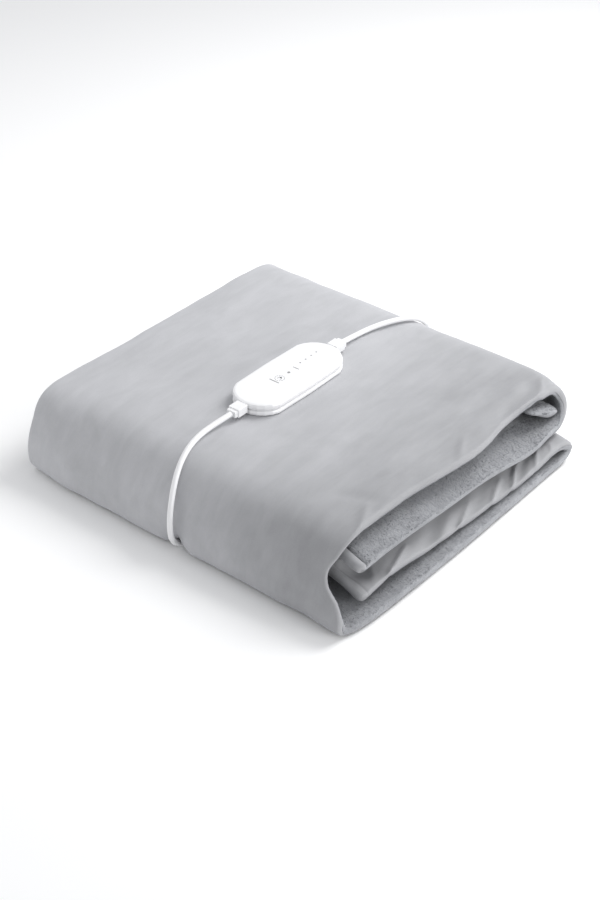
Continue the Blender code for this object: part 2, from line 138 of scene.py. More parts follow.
# Creases in the cloth: the fold table's rows that they are on, points (x, y) along each, half width, and
# height, which is negative for a trough
Crease = namedtuple("Crease", "rows line wide high")
CREASE_SAMPLES, CREASE_FADE = 25, 0.6  # points along each crease, and how gently its ends fade
TOP, THIRD = (9.4, 16.6), (32.2, 37.0)
CREASES = (
    Crease(TOP, ((164.0, 168.0), (181.9, 134.5), (180.9, 112.8), (184.5, 78.0)), 2.5, 4.4),
    Crease(TOP, ((156.0, 160.0), (172.0, 130.0), (171.0, 104.0), (174.0, 80.0)), 6.0, -2.6),
    Crease(TOP, ((142.0, 128.0), (146.0, 92.0), (146.0, 58.0)), 14.0, -1.8),
    Crease(TOP, ((166.0, 30.0), (174.0, 14.0), (182.5, 0.2)), 3.0, 2.2),
    Crease(TOP, ((160.0, -112.0), (169.0, -128.0), (175.0, -140.5)), 3.2, 2.0),
    Crease(TOP, ((108.8, -143.0), (131.2, -116.8), (151.3, -106.2), (162.8, -100.6)), 7.0, -1.8),
    Crease(TOP, ((-4.0, 112.0), (14.0, 146.0), (44.0, 168.0)), 8.0, -1.4),
    Crease(TOP, ((60.0, 40.0), (96.0, 78.0), (118.0, 128.0)), 14.0, -1.3),
    Crease(TOP, ((-150.0, 20.0), (-120.0, 64.0), (-96.0, 120.0)), 15.0, -1.2),
    Crease(TOP, ((-120.0, -110.0), (-84.0, -60.0), (-70.0, -8.0)), 13.0, -1.1),
    Crease(TOP, ((70.0, -120.0), (92.0, -70.0), (98.0, -20.0)), 12.0, -1.2),
    Crease(THIRD, ((176.0, 156.0), (188.7, 129.7), (201.0, 110.0)), 1.9, 3.0),
    Crease(THIRD, ((180.0, 166.0), (192.1, 148.9), (201.0, 139.0)), 1.8, 2.2),
    Crease(THIRD, ((180.0, 116.0), (188.6, 90.9), (198.7, 72.6), (206.0, 55.0)), 1.9, 3.4),
    Crease(THIRD, ((186.0, 68.0), (192.8, 50.3), (198.0, 37.1), (206.0, 15.0)), 1.8, 3.0),
    Crease(THIRD, ((186.0, 14.0), (194.9, -11.4), (199.3, -26.1), (205.0, -47.0)), 1.9, 3.2),
    Crease(THIRD, ((182.0, -82.0), (189.2, -107.1), (198.0, -140.0)), 1.9, 3.2),
    Crease(THIRD, ((184.0, 118.0), (193.6, 93.2), (203.0, 66.0)), 5.0, -2.4),
    Crease(THIRD, ((184.0, 42.0), (191.0, 23.1), (200.0, -6.0)), 6.0, -2.4),
    Crease(THIRD, ((186.0, 88.0), (196.0, 60.0), (204.0, 42.0)), 5.0, -2.0),
    Crease(THIRD, ((180.0, -28.0), (190.0, -58.0), (201.0, -86.0)), 7.0, -2.2),
    Crease(THIRD, ((184.0, -12.0), (192.0, -36.0), (202.0, -62.0)), 4.0, 1.4),
    Crease(THIRD, ((180.0, -128.0), (168.0, -138.0), (150.0, -140.0)), 11.0, -9.0),
    Crease((17.5, 21.4), ((96.0, -186.0), (140.0, -189.0), (176.0, -180.0)), 16.0, -1.6),
    Crease((16.0, 20.6), ((-150.0, -176.0), (-118.0, -184.0), (-90.0, -188.0)), 18.0, -1.4),
)
# Gentle waves of the whole sheet, as (length across, length along, phase, height)
WAVES = (
    (83.0, 131.0, 0.4, 0.30), (-57.0, 71.0, 2.1, 0.22),
    (41.0, -47.0, 4.0, 0.14), (23.0, 29.0, 1.2, 0.07),
)
CALM_AT, CALM_REACH = (-19.6, -4.5), (50.0, 95.0)  # the controller's middle, and how far round it is calm
CALM_SHARE, CALM_FADE = 0.9, 0.6  # share of that reach with no waves, and that in which they begin

# ---- the lead: the same routes as the CAD solids, in metres ----

CORD = 0.0056
FRONT_ROUTE = (
    (-0.0015, -0.1425, 0.0037), (-0.0015, -0.1520, 0.0034), (-0.0015, -0.1630, 0.0032),
    (-0.0015, -0.1730, 0.0030), (-0.0014, -0.1818, 0.0039), (-0.0011, -0.1896, 0.0079),
    (-0.0006, -0.1958, 0.0143), (-0.0002, -0.1992, 0.0225), (-0.0006, -0.1995, 0.0313),
    (-0.0023, -0.1972, 0.0400), (-0.0049, -0.1928, 0.0487), (-0.0083, -0.1863, 0.0584),
    (-0.0120, -0.1778, 0.0693), (-0.0158, -0.1668, 0.0801), (-0.0198, -0.1510, 0.0878),
    (-0.0228, -0.1330, 0.0907), (-0.0234, -0.1170, 0.0914), (-0.0218, -0.1045, 0.0931),
    (-0.0196, -0.0912, 0.0950),
)
BACK_ROUTE = (
    (-0.0196, 0.0822, 0.0950), (-0.0210, 0.0915, 0.0932), (-0.0218, 0.1040, 0.0913),
    (-0.0204, 0.1210, 0.0908), (-0.0166, 0.1380, 0.0909), (-0.0109, 0.1535, 0.0908),
    (-0.0045, 0.1670, 0.0906), (0.0008, 0.1790, 0.0880), (0.0042, 0.1892, 0.0819),
    (0.0059, 0.1969, 0.0726), (0.0060, 0.2003, 0.0618), (0.0057, 0.2000, 0.0515),
    (0.0059, 0.1989, 0.0420), (0.0094, 0.1972, 0.0328), (0.0162, 0.1956, 0.0256),
    (0.0252, 0.1949, 0.0213), (0.0330, 0.1962, 0.0203),
)
TAIL_ROUTE = (
    (0.0460, 0.1891, 0.0031), (0.0538, 0.1897, 0.0035), (0.0612, 0.1921, 0.0051),
    (0.0681, 0.1958, 0.0073), (0.0750, 0.1989, 0.0090), (0.0819, 0.1999, 0.0096),
)

# The coil: where each of its turns lies, as radius and height of the lead's centreline, in metres
COIL_X, COIL_Y = 0.0235, 0.225
COIL_STEP, COIL_MIDDLE = 0.0058, 0.0304
LAYER_UP = (0.0031, 0.0087, 0.0143)
INNER, MID, OUTER = COIL_MIDDLE - COIL_STEP, COIL_MIDDLE, COIL_MIDDLE + COIL_STEP
TURNS = (
    (MID, LAYER_UP[2]), (OUTER, LAYER_UP[2]),
    (OUTER, LAYER_UP[1]), (MID, LAYER_UP[1]), (INNER, LAYER_UP[1]),
    (INNER, LAYER_UP[0]), (MID, LAYER_UP[0]), (OUTER, LAYER_UP[0]),
)
TURN_POINTS = 48  # to each turn
STEP_OVER = 0.55  # share of a turn in which the lead crosses to its next place
STEP_BULGE = 0.0017  # how far it swings aside where it changes layer
TAIL_ANGLE = math.radians(-90)  # the tail leaves the ring on the side towards the blanket
LEAD_STEP = 0.003  # between points of the finished lead

# ---- pile, tuck, printed marks and strain relief, in millimetres ----

PILE_REACH, PILE_TUFTS, TUCK_TUFTS = 34.0, 44000, 2500  # how far in from a cut end, and how many tufts
ROLL_CLEAR = 0.5  # tufts keep this far from a cut end, and off columns closer together than this
TUFT_ROOT = 0.4  # how deep a tuft starts in the cloth
TUFT_WIDE, TUFT_RISE, TUFT_LONG = (0.16, 0.32), (0.1, 0.5), (1.0, 2.4)  # least and most
LEAN_SPREAD = 0.6  # how much each tuft's lean strays from its neighbours'

# The fold of plush inside the upper fold: its middle, how it lies in (y, z), and (x, thickness) along it
TUCK_Y, TUCK_UP, TUCK_ALONG = 149.0, 59.0, (26.0, -11.5)
TUCK_LONG = math.hypot(*TUCK_ALONG)
TUCK_HALF = 8.6  # half its thickness
TUCK_THIN, TUCK_SHORT = 0.34, 0.2  # how much it thins towards one side, and narrows towards its ends
TUCK_AROUND, TUCK_WAVER = 28, 0.7
TUCK_SECTIONS = (
    (120.0, 0.25), (132.0, 0.7), (150.0, 0.95), (168.0, 1.0), (178.0, 0.97), (182.0, 0.84), (184.0, 0.55),
)
TUCK_PILE_FROM = 150.0  # along x, to its end

MARK_BASE, MARK_HIGH, MARK_SUNK = 100.3, 0.1, 0.05  # the shell's top, and the ink over and under it
MARK_ROUND = 0.4  # a bar's corner radius, as a share of its depth
# Bars, squares and dots, as (x, y, width, depth)
MARK_BARS = (
    (-20.2, -25.6, 12.0, 1.1), (-19.3, -4.4, 3.0, 3.0), (-19.0, 6.4, 7.6, 1.0),
    (-22.2, 16.8, 1.7, 1.7), (-22.3, 25.4, 1.7, 1.7), (-22.5, 34.4, 1.7, 1.7), (-22.7, 42.9, 1.7, 1.7),
)
RING_AT, RING_RADIUS, RING_THICK = (-19.3, -18.3), 4.8, 0.5
RING_DASHES, RING_INK = 12, 230.0  # degrees of the ring that are inked
POWER_RADIUS, POWER_THICK, POWER_ENDS = 2.0, 0.55, (-55.0, 235.0)  # the sign's arc, open at the front
POWER_STEM_AT, POWER_STEM = 1.7, 2.2  # how far back its stem's middle is, and the stem's length
ARC_STEPS = 12

PLUG_Y, PLUG_UP = 200.0, 9.6
RELIEF_FROM, RELIEF_LONG, RELIEF_GAP = 83.0, 23.7, 0.3  # the gap is to the plug's body
RELIEF_RIBS, RIB_RADIUS, RIB_WIDENS = 6, 3.7, 2.5
RIB_BEFORE = 1.3  # a rib starts this far before its middle
RIB = ((0.0, -1.0), (0.35, 0.0), (2.0, 0.1), (2.35, -0.9))  # its outline, as distance on and radius beyond
RELIEF_ENDS = (3.2, 5.6)  # radius at the lead's end and at the plug's
RELIEF_AROUND = 32


# ---- smooth curves through chosen points ----


def smooth(points, places):
    """Centripetal curve through all the points, at each place = point number + fraction."""
    points, places = np.asarray(points, float), np.asarray(places, float)
    last = len(points) - 1
    padded = np.vstack([2 * points[0] - points[1], points, 2 * points[-1] - points[-2]])
    at = np.clip(places.astype(int), 0, last - 1)
    t = (places - at)[:, None]
    a, b, c, d = (padded[at + k] for k in range(4))

    def knot(first, second):
        return np.sqrt(np.maximum(np.linalg.norm(second - first, axis=1), 1e-6))[:, None]

    k1 = knot(a, b)
    k2 = k1 + knot(b, c)
    k3 = k2 + knot(c, d)
    u = k1 + (k2 - k1) * t
    ab = a * (k1 - u) / k1 + b * u / k1
    bc = b * (k2 - u) / (k2 - k1) + c * (u - k1) / (k2 - k1)
    cd = c * (k3 - u) / (k3 - k2) + d * (u - k2) / (k3 - k2)
    abc = ab * (k2 - u) / k2 + bc * u / k2
    bcd = bc * (k3 - u) / (k3 - k1) + cd * (u - k1) / (k3 - k1)
    return abc * (k2 - u) / (k2 - k1) + bcd * (u - k1) / (k2 - k1)


def eased(points, spacing):
    """Cubic B-spline from the first point to the last, pulled towards those between, in steps of spacing."""
    points = np.asarray(points, float)
    padded = np.vstack([2 * points[0] - points[1], points, 2 * points[-1] - points[-2]])
    found = []
    for n in range(len(points) - 1):
        steps = max(1, round(math.dist(points[n], points[n + 1]) / spacing))
        t = (np.arange(steps) / steps)[:, None]
        shares = ((1 - t) ** 3, 3 * t**3 - 6 * t**2 + 4, -3 * t**3 + 3 * t**2 + 3 * t + 1, t**3)
        found.append(sum(share * padded[n + k] for k, share in enumerate(shares)) / 6)
    return np.vstack([*found, points[-1]])


def smooth_step(share):
    share = np.clip(share, 0.0, 1.0)
    return share * share * (3.0 - 2.0 * share)


def ease_out(share):
    """1 at a cut end, 0 where its drape starts."""
    left = np.maximum(0.0, 1.0 - share)
    return left * left * (1.0 + 0.5 * share)


# ---- objects and node materials ----


def add(name, data, finish, slot_name, *replaced):
    """An object of the blanket, riding on its one body."""
    item = bpy.data.objects.new(name, data)
    bpy.context.scene.collection.objects.link(item)
    data.materials.append(finish)
    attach(item, "root")
    if replaced:
        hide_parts(*replaced)
    return item


class Shader:
    """A material's nodes, made and linked one at a time."""

    def __init__(self, name, **constants):
        self.material = bpy.data.materials.new(name)
        self.material.use_nodes = True
        self.tree = self.material.node_tree
        self.surface = self.tree.nodes["Principled BSDF"]
        for socket, value in constants.items():
            self.surface.inputs[socket.replace("_", " ")].default_value = value
        self.coordinates = self.tree.nodes.new("ShaderNodeTexCoord")

    def node(self, kind, settings=None, **inputs):
        made = self.tree.nodes.new("ShaderNode" + kind)
        for name, value in (settings or {}).items():
            setattr(made, name, value)
        for name, value in inputs.items():
            self.put(made.inputs[name.replace("_", " ")], value)
        return made

    def put(self, socket, value):
        if isinstance(value, bpy.types.NodeSocket):
            self.tree.links.new(value, socket)
        else:
            socket.default_value = value

    def place(self, scale=(1.0, 1.0, 1.0), turn=(0, 0, 0)):
        """The object's own coordinates, turned and scaled along each axis."""
        mapping = self.node("Mapping", Vector=self.coordinates.outputs["Object"], Scale=scale)
        mapping.inputs["Rotation"].default_value = [math.radians(angle) for angle in turn]
        return mapping.outputs["Vector"]

    def noise(self, vector, scale, detail=3.0, rough=0.55, distortion=0.0):
        made = self.node("TexNoise", Vector=vector, Scale=scale, Detail=detail, Roughness=rough)
        made.inputs["Distortion"].default_value = distortion
        return made.outputs["Fac"]

    def ramp(self, value, *stops):
        """A colour ramp through (position, grey or colour) stops."""
        made = self.node("ValToRGB", Fac=value)
        elements = made.color_ramp.elements
        while len(elements) < len(stops):
            elements.new(0.5)
        for element, (position, colour) in zip(elements, stops):
            element.position = position
            element.color = (*colour, 1.0) if hasattr(colour, "__len__") else (colour, colour, colour, 1.0)
        return made.outputs["Color"]

    def mix(self, share, first, second, blend="MIX"):
        made = self.node("Mix", {"data_type": "RGBA", "blend_type": blend})
        self.put(made.inputs["Factor"], share)
        self.put(made.inputs[6], first)
        self.put(made.inputs[7], second)
        return made.outputs[2]

    def maths(self, operation, first, second):
        made = self.node("Math", {"operation": operation})
        self.put(made.inputs[0], first)
        self.put(made.inputs[1], second)
        return made.outputs[0]

    def painted_fold_shade(self, colour, reach, *stops):
        """The colour darkened with painted shade in the depth of folds and gaps, where light hardly gets in.
        """
        open_sky = self.node("AmbientOcclusion", {"samples": 6}, Distance=reach).outputs["AO"]
        return self.mix(1.0, colour, self.ramp(open_sky, *stops), "MULTIPLY")

    def bump(self, height, strength, distance, normal=None):
        made = self.node("Bump", Height=height, Strength=strength, Distance=distance)
        if normal is not None:
            self.put(made.inputs["Normal"], normal)
        return made.outputs["Normal"]

    def finish(self, colour, roughness=None, normal=None):
        self.put(self.surface.inputs["Base Color"], colour)
        if roughness is not None:
            self.put(self.surface.inputs["Roughness"], roughness)
        if normal is not None:
            self.put(self.surface.inputs["Normal"], normal)
        return self.material


def velvet():
    """Short-napped face cloth: cool light grey, brushed streaks and soft patches."""
    made = Shader("velvet_face", Sheen_Weight=0.25, Sheen_Roughness=0.45, Specular_IOR_Level=0.25)
    made.surface.inputs["Sheen Tint"].default_value = (0.93, 0.94, 1.0, 1.0)
    patches = made.noise(made.place((1.0, 0.55, 1.0), (0, 0, -14)), 24.0, 5.0, 0.6, 0.6)
    wide = made.noise(made.place((1.0, 0.8, 1.0), (0, 0, 30)), 7.0, 3.0, 0.5, 0.4)
    brushed = made.noise(made.place((1.0, 0.16, 0.35), (0, 0, -14)), 95.0, 4.0, 0.6, 0.4)
    nap = made.noise(made.place(), 1500.0, 2.0)
    base = made.ramp(patches, (0.30, (0.440, 0.443, 0.455)), (0.72, (0.500, 0.502, 0.518)))
    # painted shade: the colour is darkened towards the open end, standing in for the darker look there of the
    # nap lying the other way
    across = made.node("SeparateXYZ", Vector=made.coordinates.outputs["Object"]).outputs["X"]
    painted_shade_towards_open_end = made.maths("ADD", made.maths("MULTIPLY", wide, 0.16), across)
    base = made.mix(1.0, base, made.ramp(painted_shade_towards_open_end, (0.08, 1.0), (0.25, 0.70)), "MULTIPLY")
    streaked = made.mix(0.24, base, made.ramp(brushed, (0.35, 0.38), (0.68, 0.62)), "SOFT_LIGHT")
    colour = made.mix(0.22, streaked, made.ramp(nap, (0.3, 0.35), (0.7, 0.65)), "SOFT_LIGHT")
    # painted shade: the face cloth's colour is darkened in folds and in the gaps between its layers
    colour = made.painted_fold_shade(colour, 0.03, (0.07, 0.03), (0.13, 0.88), (0.22, 1.0))
    relief = made.bump(brushed, 0.20, 0.0012)
    relief = made.bump(nap, 0.30, 0.0003, relief)
    rough = made.ramp(brushed, (0.3, 0.86), (0.7, 0.70))
    return made.finish(colour, rough, relief)


def plush():
    """Longer pile: mid grey, in soft clumps with dark partings."""
    made = Shader("plush_pile", Sheen_Weight=0.35, Sheen_Roughness=0.6, Specular_IOR_Level=0.15)
    made.surface.inputs["Sheen Tint"].default_value = (0.95, 0.96, 1.0, 1.0)
    patches = made.noise(made.place(), 45.0, 4.0, 0.6, 0.4)
    clumps = made.noise(made.place((0.6, 1.0, 1.0), (0, 0, 25)), 210.0, 4.0, 0.65, 1.0)
    fibres = made.noise(made.place((0.35, 1.0, 1.0), (0, 0, 30)), 1100.0, 2.0)
    base = made.ramp(patches, (0.3, (0.245, 0.250, 0.262)), (0.7, (0.310, 0.316, 0.330)))
    clumped = made.mix(0.6, base, made.ramp(clumps, (0.30, 0.30), (0.52, 0.50), (0.8, 0.64)), "SOFT_LIGHT")
    colour = made.mix(0.35, clumped, made.ramp(fibres, (0.3, 0.3), (0.7, 0.7)), "SOFT_LIGHT")
    # painted shade: the pile's colour is darkened in folds and in the gaps between the layers
    colour = made.painted_fold_shade(colour, 0.03, (0.08, 0.02), (0.18, 0.84), (0.30, 1.0))
    relief = made.bump(clumps, 0.5, 0.0016)
    relief = made.bump(fibres, 0.5, 0.0006, relief)
    return made.finish(colour, made.ramp(clumps, (0.3, 0.98), (0.7, 0.86)), relief)


def plastic(name, colour, rough, grain=900.0, depth=0.00005, coat=0.0):
    """Moulded plastic with a fine spark-eroded grain and slightly uneven gloss."""
    made = Shader(name, Coat_Weight=coat, Coat_Roughness=0.25, Specular_IOR_Level=0.5)
    grain_noise = made.noise(made.place(), grain, 2.0)
    handling = made.noise(made.place(), 30.0, 3.0)
    dull = [value * 0.97 for value in colour]
    tint = made.mix(made.ramp(handling, (0.35, 0.0), (0.7, 1.0)), (*colour, 1.0), (*dull, 1.0))
    gloss = made.ramp(handling, (0.3, rough - 0.04), (0.7, rough + 0.06))
    return made.finish(tint, gloss, made.bump(grain_noise, 0.25, depth))


def pin_metal():
    made = Shader("nickel_pin", Metallic=1.0)
    drawn = made.noise(made.place((0.05, 1.0, 1.0)), 2600.0, 2.0)
    colour = made.ramp(drawn, (0.3, (0.58, 0.56, 0.52)), (0.7, (0.68, 0.66, 0.61)))
    return made.finish(colour, made.ramp(drawn, (0.3, 0.24), (0.7, 0.36)), made.bump(drawn, 0.15, 0.00003))


def print_grey():
    made = Shader("print_grey", Specular_IOR_Level=0.3)
    speckle = made.noise(made.place(), 2500.0, 2.0)
    grey = made.ramp(speckle, (0.3, 0.26), (0.7, 0.34))
    return made.finish(grey, made.ramp(speckle, (0.3, 0.5), (0.7, 0.62)))


# ---- camera ----


def make_camera():
    data = bpy.data.cameras.new("photo_view")
    camera = bpy.data.objects.new("photo_view", data)
    bpy.context.scene.collection.objects.link(camera)
    camera.location = (0.8428, -1.0366, 0.9387)
    camera.rotation_euler = (math.radians(55.3), 0.0, math.radians(39.4))
    data.lens = 64.4
    data.sensor_width = 36.0
    bpy.context.scene.camera = camera


# ---- the lead ----


def coil_points():
    """The wound turns, from where the lead lands on top of the ring to its lowest outer turn."""
    landing = BACK_ROUTE[-1]
    landing_radius = math.hypot(landing[0] - COIL_X, landing[1] - COIL_Y)
    start = math.atan2(landing[1] - COIL_Y, landing[0] - COIL_X)
    end = TAIL_ANGLE + math.tau * len(TURNS)
    count = round((end - start) / math.tau * TURN_POINTS)
    points = []
    for n in range(1, count + 1):
        angle = start + (end - start) * n / count
        turned = (angle - TAIL_ANGLE) / math.tau
        turn = min(int(turned), len(TURNS) - 1)
        into = turned - turn
        radius, up = TURNS[turn]
        if turn == 0:  # down from the top of the ring into its first place
            lowered = float(smooth_step(into / (1 - STEP_OVER)))
            radius = landing_radius * (1 - lowered) + radius * lowered
            up = landing[2] * (1 - lowered) + up * lowered
        if turn + 1 < len(TURNS) and into > 1 - STEP_OVER:
            share = (into - (1 - STEP_OVER)) / STEP_OVER
            crossed = 0.5 - 0.5 * math.cos(math.pi * share)
            next_radius, next_up = TURNS[turn + 1]
            if next_up != up:
                radius += math.copysign(STEP_BULGE, radius - COIL_MIDDLE) * math.sin(math.pi * share)
            radius += (next_radius - TURNS[turn][0]) * crossed
            up += (next_up - TURNS[turn][1]) * crossed
        points.append((COIL_X + radius * math.cos(angle), COIL_Y + radius * math.sin(angle), up))
    return points


def make_lead(finish):
    """One lead: out of the gland, up the front, through the controller, over the back, coil and plug."""
    line = [*eased(FRONT_ROUTE, LEAD_STEP), *eased([*BACK_ROUTE, *coil_points(), *TAIL_ROUTE], LEAD_STEP)]
    curve = bpy.data.curves.new("lead", "CURVE")
    curve.dimensions = "3D"
    curve.bevel_depth = CORD / 2
    curve.bevel_resolution = 4
    curve.use_fill_caps = True
    spline = curve.splines.new("POLY")
    spline.points.add(len(line) - 1)
    for point, place in zip(spline.points, line):
        point.co = (*place, 1.0)
    spline.use_smooth = True
    return add("lead", curve, finish, "white_lead", "lead_front", "lead_back", "lead_coil", "lead_tail")


# ---- the fine cloth ----


def groove(x, places, back):
    """How far the lead under the base pushes the sheet in."""
    aside = np.abs(x - GROOVE_X) / GROOVE_HALF
    start = smooth_step((places - GROOVE_ROWS[0]) / GROOVE_START)[:, None]
    inside = (aside < 1.0) & ((places > GROOVE_ROWS[0]) & (places < GROOVE_ROWS[1]))[:, None]
    depth = GROOVE_LIFT * (0.5 + 0.5 * np.cos(np.pi * aside))
    lift = depth * start * smooth_step((GROOVE_BACK - back) / GROOVE_FADE)
    return np.where(inside, lift, 0.0)


def sheet_points(places, inwards):
    """Middle surface, at each place along the fold (rows) and distance in from the open end (columns)."""
    middle, open_edge, far_edge = (smooth(table, places) for table in (MIDDLE, OPEN_EDGE, FAR_EDGE))
    to_open = ease_out(inwards / DRAPE_REACH)[None, :]
    to_far = ease_out((STACK_LENGTH - inwards) / DRAPE_REACH)[None, :]

    def drape(axis):
        own = middle[:, axis, None]
        to_ends = to_open * (open_edge[:, axis, None] - own) + to_far * (far_edge[:, axis, None] - own)
        return own + to_ends

    back, up = drape(1), drape(2)
    start, end = OPEN_END - open_edge[:, 0, None], FAR_END + far_edge[:, 0, None]
    x = start + (end - start) * inwards[None, :] / STACK_LENGTH
    dent = groove(x, places, back)
    along = smooth(MIDDLE, places + NUDGE) - smooth(MIDDLE, places - NUDGE)
    along /= np.linalg.norm(along, axis=1)[:, None]
    back = back - dent * along[:, 2, None]
    up = up + dent * along[:, 1, None]
    return np.stack([x, FRONT + back, np.maximum(up, SHEET_HALF)], axis=2)


def outwards(places, inwards):
    """Unit direction from the middle surface to the face cloth's side."""
    along = sheet_points(places + NUDGE, inwards) - sheet_points(places - NUDGE, inwards)
    across = sheet_points(places, inwards - NUDGE_ACROSS) - sheet_points(places, inwards + NUDGE_ACROSS)
    out = np.cross(along, across)
    return out / np.linalg.norm(out, axis=2)[:, :, None]


def fold_run():
    """Places along the fold table, closely spaced, and the length of sheet up to each."""
    fine = np.linspace(0, len(FOLD) - 1, RUN_STEPS * (len(FOLD) - 1) + 1)
    points = smooth(MIDDLE, fine)
    steps = np.linalg.norm(np.diff(points, axis=0), axis=1)
    return fine, np.concatenate([[0.0], np.cumsum(steps)])


def rolled(wrap, reach):
    """A rounded edge as (distance in from the edge, angle turned), from the far side of the roll."""
    angles = np.linspace(wrap, 0.0, ROLL_STEPS)
    return reach * (1.0 - np.sin(angles)), angles


def finer_rows(along, angle, run, fine):
    """The same rows with one more between each two on the third layer, where the creases are."""
    places = np.interp(along, run, fine)
    chosen = (places[:-1] > THIRD[0]) & (np.diff(along) > ROW_STEP / 2)
    at = np.nonzero(chosen)[0] + 1
    between = (along[:-1] + along[1:])[chosen] / 2
    return np.insert(along, at, between), np.insert(angle, at, 0.0)


def edged(length, wrap, reach, step, near_step, near):
    """Distances and roll angles between the sheet's two rounded edges, closer together near both."""
    distance, angle = rolled(wrap, reach)
    fine = np.arange(reach + near_step, near, near_step)
    middle = np.linspace(near, length - near, round((length - 2 * near) / step) + 1)
    inner = np.concatenate([fine, middle, length - fine[::-1]])
    distances = np.concatenate([distance, inner, length - distance[::-1]])
    return distances, np.concatenate([angle, np.zeros(len(inner)), angle[::-1]])


def crease_rise(points, places):
    """How far the creases lift each point from its smooth sheet."""
    rise = np.zeros(points.shape[:2])
    for crease in CREASES:
        first, last = np.searchsorted(places, crease.rows)
        flat = points[first:last, :, :2]
        samples = np.linspace(0, len(crease.line) - 1, CREASE_SAMPLES)
        line = smooth([(*point, 0.0) for point in crease.line], samples)[:, :2]
        away = np.linalg.norm(flat[:, :, None, :] - line[None, None, :, :], axis=3)
        nearest = away.argmin(axis=2)
        share = np.sin(np.pi * (nearest + 1.5) / (CREASE_SAMPLES + 2)) ** CREASE_FADE
        rise[first:last] += crease.high * share * np.exp(-((away.min(axis=2) / crease.wide) ** 2))
    return rise


def waves(points, along, across):
    """A gentle unevenness, always inwards and nothing under the controller."""
    total = np.zeros((len(along), len(across)))
    for wave_across, wave_along, phase, high in WAVES:
        turns = across[None, :] / wave_across + along[:, None] / wave_along
        total += high * (np.sin(math.tau * turns + phase) - 1.0)
    aside, ahead = ((points[:, :, axis] - CALM_AT[axis]) / CALM_REACH[axis] for axis in (0, 1))
    return total * smooth_step((np.hypot(aside, ahead) - CALM_SHARE) / CALM_FADE)


def corner_rounding(across, along, length):
    """How far each point near a corner of the sheet moves in, across and along, to round the corner."""
    moved = []
    for distance, whole in ((across, STACK_LENGTH), (along, length)):
        near = np.minimum(distance, whole - distance)
        moved.append((1.0 - np.minimum(near / CORNER, 1.0), np.where(distance < whole / 2, 1.0, -1.0)))
    (aside, side_across), (ahead, side_along) = moved
    aside, ahead = np.broadcast_arrays(aside[None, :], ahead[:, None])
    shift_across = CORNER * aside * (1.0 - np.sqrt(1.0 - ahead * ahead / 2)) * side_across[None, :]
    shift_along = CORNER * ahead * (1.0 - np.sqrt(1.0 - aside * aside / 2)) * side_along[:, None]
    return shift_across, shift_along


def shaped(places, across, along, length):
    """The sheet's creased middle surface, its three directions, and the shifts that round its corners."""
    points, out = sheet_points(places, across), outwards(places, across)
    points = points + out * (crease_rise(points, places) + waves(points, along, across))[:, :, None]
    tangent_along = sheet_points(places + NUDGE, across) - sheet_points(places - NUDGE, across)
    tangent_along /= np.linalg.norm(tangent_along, axis=2)[:, :, None]
    tangent_across = sheet_points(places, across + NUDGE_ACROSS) - sheet_points(places, across - NUDGE_ACROSS)
    tangent_across /= np.linalg.norm(tangent_across, axis=2)[:, :, None]
    shift_across, shift_along = corner_rounding(across, along, length)
    return points, out, tangent_across, tangent_along, shift_across, shift_along


def grid_mesh(name, points, across, along):
    """A mesh of quads on a grid of points, with a UV map in metres of cloth."""
    rows, columns = points.shape[:2]
    index = np.arange(rows * columns).reshape(rows, columns)
    corners = [index[:-1, :-1], index[:-1, 1:], index[1:, 1:], index[1:, :-1]]
    quads = np.stack([corner.ravel() for corner in corners], axis=1)
    mesh = bpy.data.meshes.new(name)
    mesh.from_pydata((points.reshape(-1, 3) * MM).tolist(), [], quads.tolist())
    mesh.shade_smooth()
    flat = np.stack(np.broadcast_arrays(across[None, :], along[:, None]), axis=2).reshape(-1, 2) * MM
    corner_vertices = np.zeros(len(mesh.loops), np.int32)
    mesh.loops.foreach_get("vertex_index", corner_vertices)
    mesh.uv_layers.new(name="cloth").data.foreach_set("uv", flat[corner_vertices].ravel().astype(np.float32))
    return mesh


def thicken(item, offset):
    """Gives a sheet its cloth's thickness, on one side of its surface."""
    shell = item.modifiers.new("thickness", "SOLIDIFY")
    shell.thickness = CLOTH * MM
    shell.offset = offset
    return item


def wrap_limit(places):
    """How far the face cloth turns round a cut end at each place, in radians, as a column."""
    rows, degrees = zip(*WRAP_ROWS)
    return np.radians(np.interp(places, rows, degrees))[:, None]


def thinned(places, across):
    """Share of its thickness that the sheet keeps: the front wrap thins out to its cut edge."""
    (start, start_over), (end, end_over) = THIN_ROWS
    rows = smooth_step((places - start) / start_over) * smooth_step((end - places) / end_over)
    return 1.0 - THIN_EDGE * rows[:, None] * np.exp(-((across / THIN_REACH) ** 2))[None, :]


def drawn_in(angle, turned, across):
    """How far a rounded edge's points move across when they turn by another angle."""
    side = np.where(across < STACK_LENGTH / 2, 1.0, -1.0)[None, :]
    return np.where(angle[None, :] > 0, EDGE_REACH * (np.sin(angle)[None, :] - np.sin(turned)) * side, 0.0)


